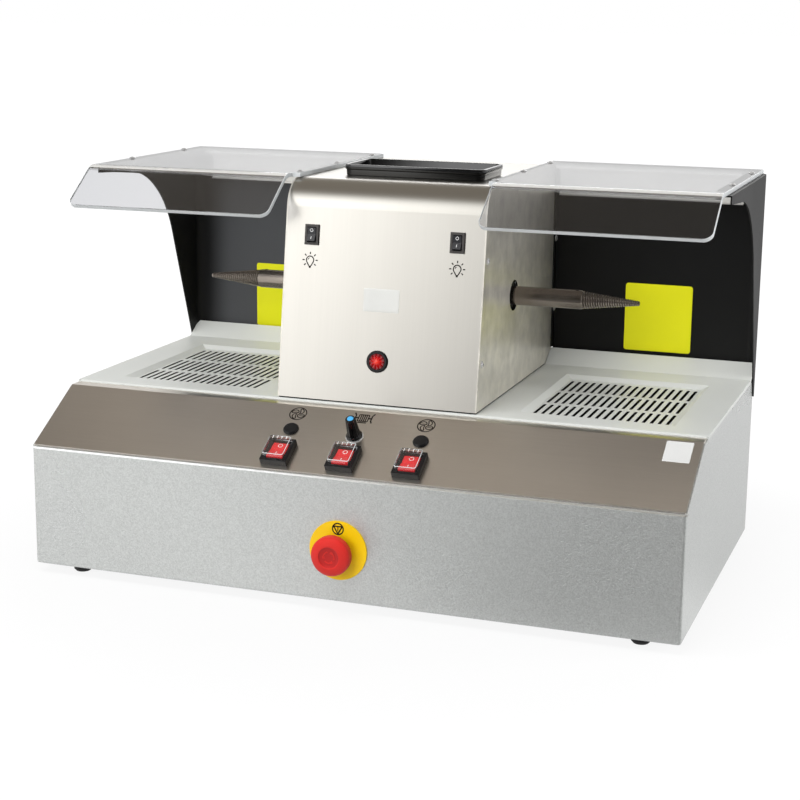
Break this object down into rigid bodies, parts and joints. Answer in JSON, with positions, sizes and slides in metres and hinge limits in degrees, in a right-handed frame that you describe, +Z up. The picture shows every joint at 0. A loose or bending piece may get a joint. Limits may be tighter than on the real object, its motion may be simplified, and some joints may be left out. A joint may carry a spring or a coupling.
{
  "type": "polishing machine",
  "caption": "Bench polishing machine: sloped cabinet with suction deck, central motor housing with tapered spindles, black hoods, clear visors, switches and emergency stop.",
  "frame": {"origin": "middle of the footprint on the floor, under the rubber feet", "axes": "+X to the right seen from the front, +Y to the back, +Z up"},
  "size_m": [0.683, 0.448, 0.422],
  "materials": {
    "hammer_grey": "silver hammer-texture paint",
    "deck_grey": "light grey satin paint",
    "stainless": "brushed stainless",
    "black_paint": "black satin paint",
    "clear_acrylic": "clear polished sheet",
    "aluminium": "anodised",
    "opal": "opal",
    "rubber": "black",
    "zinc_plate": "zinc plated",
    "motor_grey": "painted",
    "laminations": "stacked sheet",
    "steel": "turned",
    "screw_steel": "plated",
    "bright_washer": "bright plated",
    "board": "coated board",
    "filter_fibre": "loose fibre",
    "black_plastic": "moulded",
    "gloss_black": "glossy",
    "red_plastic": "glossy",
    "yellow_plastic": "satin",
    "blue_plastic": "satin",
    "red_lens": "tinted"
  },
  "bodies": {
    "machine": {"base_plate": "zinc_plate", "base_shell": "hammer_grey", "cabinet_screws": "screw_steel", "cable_gland": "black_plastic", "control_panel": "stainless", "deck_tray": "deck_grey", "fan_frame_left": "black_plastic", "fan_frame_right": "black_plastic", "filter_frames": "zinc_plate", "filter_pads": "filter_fibre", "hole_plugs": "black_plastic", "hood_left": "black_paint", "hood_right": "black_paint", "hood_screws": "screw_steel", "housing_rear_cover": "stainless", "housing_screws": "screw_steel", "housing_seal": "rubber", "housing_side_left": "stainless", "housing_side_right": "stainless", "housing_wrap": "stainless", "lamp_bezel": "black_plastic", "lamp_lens": "red_lens", "left_fan_switch_body": "black_plastic", "light_channel_left": "aluminium", "light_channel_right": "aluminium", "light_diffuser_left": "opal", "light_diffuser_right": "opal", "light_switch_bodies": "black_plastic", "motor_bearings": "steel", "motor_casing": "motor_grey", "motor_end_bells": "motor_grey", "motor_stand": "zinc_plate", "motor_stator": "laminations", "motor_switch_body": "black_plastic", "right_fan_switch_body": "black_plastic", "rubber_feet": "rubber", "shield_left": "clear_acrylic", "shield_right": "clear_acrylic", "shield_screws": "screw_steel", "speed_controller": "board", "speed_pot": "bright_washer", "stop_body": "black_plastic", "stop_plate": "yellow_plastic", "switch_covers": "clear_acrylic"},
    "spindle": {"motor_rotor": "steel", "spindle_left": "steel", "spindle_right": "steel"},
    "left_fan": {"fan_impeller_left": "black_plastic"},
    "right_fan": {"fan_impeller_right": "black_plastic"},
    "left_fan_rocker": {"left_fan_rocker": "red_plastic"},
    "motor_rocker": {"motor_rocker": "red_plastic"},
    "right_fan_rocker": {"right_fan_rocker": "red_plastic"},
    "left_light_rocker": {"light_rocker_left": "black_plastic"},
    "right_light_rocker": {"light_rocker_right": "black_plastic"},
    "knob": {"speed_knob": "black_plastic", "knob_cap": "blue_plastic", "pot_shaft": "steel"},
    "stop_stem": {"stop_stem": "steel"},
    "stop_head": {"stop_head": "red_plastic"},
    "tool_tray": {"tool_tray": "gloss_black"}
  },
  "joints": [
    {"name": "spindle_spin", "type": "hinge", "parent": "machine", "child": "spindle", "pos_m": [0, 0.036, 0.288], "axis": [1, 0, 0], "continuous": true},
    {"name": "left_fan_spin", "type": "hinge", "parent": "machine", "child": "left_fan", "pos_m": [-0.22, 0.1855, 0.095], "axis": [0, 1, 0], "continuous": true},
    {"name": "right_fan_spin", "type": "hinge", "parent": "machine", "child": "right_fan", "pos_m": [0.22, 0.1855, 0.095], "axis": [0, 1, 0], "continuous": true},
    {"name": "left_fan_switch", "type": "hinge", "parent": "machine", "child": "left_fan_rocker", "pos_m": [-0.0715, -0.17447, 0.14987], "axis": [1, 0, 0], "range_deg": [0, 20]},
    {"name": "motor_switch", "type": "hinge", "parent": "machine", "child": "motor_rocker", "pos_m": [-0.0025, -0.17447, 0.14987], "axis": [1, 0, 0], "range_deg": [0, 20]},
    {"name": "right_fan_switch", "type": "hinge", "parent": "machine", "child": "right_fan_rocker", "pos_m": [0.0665, -0.17447, 0.14987], "axis": [1, 0, 0], "range_deg": [0, 20]},
    {"name": "left_light_switch", "type": "hinge", "parent": "machine", "child": "left_light_rocker", "pos_m": [-0.078, -0.07109, 0.35503], "axis": [1, 0, 0], "range_deg": [0, 18]},
    {"name": "right_light_switch", "type": "hinge", "parent": "machine", "child": "right_light_rocker", "pos_m": [0.078, -0.07109, 0.35503], "axis": [1, 0, 0], "range_deg": [0, 18]},
    {"name": "speed_turn", "type": "hinge", "parent": "machine", "child": "knob", "pos_m": [-0.0025, -0.14453, 0.16602], "axis": [0, 0.5004, -0.8658], "range_deg": [0, 300]},
    {"name": "stop_press", "type": "slide", "parent": "machine", "child": "stop_stem", "axis": [0, 1, 0], "range_m": [0, 0.004]},
    {"name": "stop_twist", "type": "hinge", "parent": "stop_stem", "child": "stop_head", "pos_m": [0, -0.194, 0.0633], "axis": [0, 1, 0], "range_deg": [0, 45]},
    {"name": "tray_lift", "type": "slide", "parent": "machine", "child": "tool_tray", "axis": [0, 0, 1], "range_m": [0, 0.05]}
  ]
}
